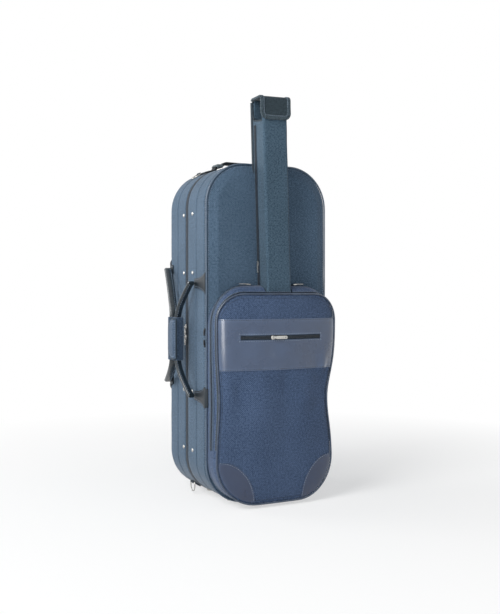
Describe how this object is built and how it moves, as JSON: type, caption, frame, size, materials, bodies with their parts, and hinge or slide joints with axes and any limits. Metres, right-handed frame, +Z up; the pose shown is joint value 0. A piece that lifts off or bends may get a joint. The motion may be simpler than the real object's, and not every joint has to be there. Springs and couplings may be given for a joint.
{
  "type": "double violin case",
  "caption": "Upright soft-covered double violin case that opens like a book, with a front pocket, a bow tube with a flap, paired side handles, D-rings and fitted interior.",
  "frame": {"origin": "middle of the bottom of the bounding box, on the floor that the stud feet stand on", "axes": "+Z up, -Y towards the front pocket and bow tube, +X to the right seen from the front (hinge side)"},
  "size_m": [0.372, 0.3316, 0.9624],
  "materials": {
    "case_fabric": "woven nylon canvas over a foam-covered plywood shell",
    "pocket_fabric": "padded woven nylon",
    "tube_fabric": "woven nylon over stiff card",
    "vinyl": "smooth semi-gloss vinyl",
    "zipper_tape": "coil zipper tape",
    "piping": "soft vinyl piping",
    "webbing": "woven strap",
    "strap_leather": "smooth padded leatherette",
    "wrap_fabric": "padded nylon",
    "steel": "nickel-plated",
    "dark_metal": "black lacquered",
    "bed_velvet": "plush velvet over moulded foam"
  },
  "bodies": {
    "rear_half": {"rear_shell": "case_fabric", "rear_zipper_tape": "zipper_tape", "rear_rivet_strip": "steel", "rear_violin_bed": "bed_velvet", "rear_neck_strap": "webbing", "rear_left_foot": "steel", "rear_right_foot": "steel", "hinge_upper_rear_leaf": "steel", "hinge_lower_rear_leaf": "steel", "hinge_upper_pin": "steel", "hinge_lower_pin": "steel", "rear_handle_upper_anchor": "strap_leather", "rear_handle_lower_anchor": "strap_leather", "top_grab_handle": "webbing", "top_ring_tab": "webbing", "bottom_ring_tab": "webbing"},
    "front_half": {"front_shell": "case_fabric", "front_zipper_tape": "zipper_tape", "front_rivet_strip": "steel", "front_violin_bed": "bed_velvet", "front_neck_strap": "webbing", "front_left_foot": "steel", "front_right_foot": "steel", "front_piping": "piping", "hinge_upper_front_leaf": "steel", "hinge_lower_front_leaf": "steel", "front_handle_upper_anchor": "strap_leather", "front_handle_lower_anchor": "strap_leather", "pocket_base": "pocket_fabric", "quiver_tube": "tube_fabric"},
    "rear_box_lid": {"rear_accessory_lid": "bed_velvet"},
    "front_box_lid": {"front_accessory_lid": "bed_velvet"},
    "rear_spinner": {"rear_bow_spinner": "dark_metal"},
    "front_spinner": {"front_bow_spinner": "dark_metal"},
    "upper_slider": {"upper_zip_slider": "steel"},
    "upper_pull": {"upper_zip_pull": "steel"},
    "lower_slider": {"lower_zip_slider": "steel"},
    "lower_pull": {"lower_zip_pull": "steel"},
    "upper_sleeve": {"upper_sleeve_slider": "dark_metal"},
    "lower_sleeve": {"lower_sleeve_slider": "dark_metal"},
    "front_carry_handle": {"front_handle": "strap_leather", "front_handle_grip": "wrap_fabric"},
    "rear_carry_handle": {"rear_handle": "strap_leather", "rear_handle_grip": "wrap_fabric"},
    "handle_wrap": {"handle_wrap_flap": "wrap_fabric"},
    "top_ring": {"top_d_ring": "steel"},
    "bottom_ring": {"bottom_d_ring": "steel"},
    "pocket_front": {"pocket_lid": "pocket_fabric", "pocket_piping": "piping", "vinyl_band": "vinyl", "vinyl_corner_left": "vinyl", "vinyl_corner_right": "vinyl", "window_zipper": "zipper_tape"},
    "band_slider": {"window_slider": "steel"},
    "band_pull": {"window_pull": "steel"},
    "left_pocket_slider": {"pocket_slider_left": "steel"},
    "right_pocket_slider": {"pocket_slider_right": "steel"},
    "quiver_lid": {"quiver_flap": "webbing"},
    "quiver_slider": {"quiver_zip_slider": "steel"}
  },
  "joints": [
    {"name": "case_hinge", "type": "hinge", "parent": "rear_half", "child": "front_half", "pos_m": [0.18299, 0.03777, 0.407], "axis": [0, 0, 1], "range_deg": [0, 170]},
    {"name": "front_handle_swing", "type": "hinge", "parent": "front_half", "child": "front_carry_handle", "pos_m": [-0.15321, -0.02223, 0.3905], "axis": [0, 0, 1], "range_deg": [0, 70]},
    {"name": "rear_handle_swing", "type": "hinge", "parent": "rear_half", "child": "rear_carry_handle", "pos_m": [-0.15321, 0.13177, 0.3905], "axis": [0, 0, 1], "range_deg": [-70, 0]},
    {"name": "wrap_flap_peel", "type": "hinge", "parent": "front_carry_handle", "child": "handle_wrap", "pos_m": [-0.18399, 0.00867, 0.3905], "axis": [0, 0, 1], "range_deg": [0, 110]},
    {"name": "rear_box_lid_hinge", "type": "hinge", "parent": "rear_half", "child": "rear_box_lid", "pos_m": [0.1534, 0.09617, 0.44], "axis": [0, 0, 1], "range_deg": [0, 85]},
    {"name": "front_box_lid_hinge", "type": "hinge", "parent": "front_half", "child": "front_box_lid", "pos_m": [0.1534, -0.01063, 0.44], "axis": [0, 0, -1], "range_deg": [0, 85]},
    {"name": "rear_spinner_turn", "type": "hinge", "parent": "rear_half", "child": "rear_spinner", "pos_m": [-0.10461, 0.09617, 0.238], "axis": [0, 1, 0], "range_deg": [0, 90]},
    {"name": "front_spinner_turn", "type": "hinge", "parent": "front_half", "child": "front_spinner", "pos_m": [-0.10461, -0.01063, 0.238], "axis": [0, 1, 0], "range_deg": [0, 90]},
    {"name": "top_ring_swing", "type": "hinge", "parent": "rear_half", "child": "top_ring", "pos_m": [-0.08234, 0.09577, 0.80261], "axis": [0, 1, 0], "range_deg": [0, 140]},
    {"name": "bottom_ring_swing", "type": "hinge", "parent": "rear_half", "child": "bottom_ring", "pos_m": [-0.11196, 0.06777, 0.03062], "axis": [0, 1, 0], "range_deg": [-40, 100]},
    {"name": "upper_zip_run", "type": "slide", "parent": "rear_half", "child": "upper_slider", "axis": [0, 0, 1], "range_m": [0, 0.27]},
    {"name": "upper_pull_lift", "type": "hinge", "parent": "upper_slider", "child": "upper_pull", "pos_m": [-0.14511, 0.03777, 0.418], "axis": [0, 1, 0], "range_deg": [0, 25]},
    {"name": "lower_zip_run", "type": "slide", "parent": "rear_half", "child": "lower_slider", "axis": [0, 0, 1], "range_m": [-0.27, 0]},
    {"name": "lower_pull_lift", "type": "hinge", "parent": "lower_slider", "child": "lower_pull", "pos_m": [-0.14511, 0.03777, 0.394], "axis": [0, 1, 0], "range_deg": [0, 25]},
    {"name": "upper_sleeve_run", "type": "slide", "parent": "front_half", "child": "upper_sleeve", "axis": [0, 0, 1], "range_m": [0, 0.07]},
    {"name": "lower_sleeve_run", "type": "slide", "parent": "front_half", "child": "lower_sleeve", "axis": [0, 0, 1], "range_m": [-0.07, 0]},
    {"name": "pocket_opening", "type": "hinge", "parent": "front_half", "child": "pocket_front", "pos_m": [0.01939, -0.12883, 0.0105], "axis": [1, 0, 0], "range_deg": [0, 75]},
    {"name": "band_slider_run", "type": "hinge", "parent": "pocket_front", "child": "band_slider", "pos_m": [0.01939, 0.3683, 0.398], "axis": [0, 0, 1], "range_deg": [-7, 11.5]},
    {"name": "band_pull_lift", "type": "hinge", "parent": "band_slider", "child": "band_pull", "pos_m": [-0.00677, -0.1634, 0.398], "axis": [0, 0, -1], "range_deg": [0, 140]},
    {"name": "left_pocket_slider_run", "type": "hinge", "parent": "front_half", "child": "left_pocket_slider", "pos_m": [-0.04903, -0.10223, 0.42868], "axis": [0, -1, 0], "range_deg": [0, 38]},
    {"name": "right_pocket_slider_run", "type": "hinge", "parent": "front_half", "child": "right_pocket_slider", "pos_m": [0.08782, -0.10223, 0.42868], "axis": [0, 1, 0], "range_deg": [0, 38]},
    {"name": "quiver_flap_lift", "type": "hinge", "parent": "front_half", "child": "quiver_lid", "pos_m": [0.00713, -0.08303, 0.95913], "axis": [-0.9996, 0, -0.0279], "range_deg": [0, 170]},
    {"name": "quiver_zip_run", "type": "slide", "parent": "front_half", "child": "quiver_slider", "axis": [-0.0279, 0, 0.9996], "range_m": [0, 0.3]}
  ],
  "couplings": [
    {"joint": "rear_handle_swing", "follows": "front_handle_swing", "ratio": -1}
  ]
}
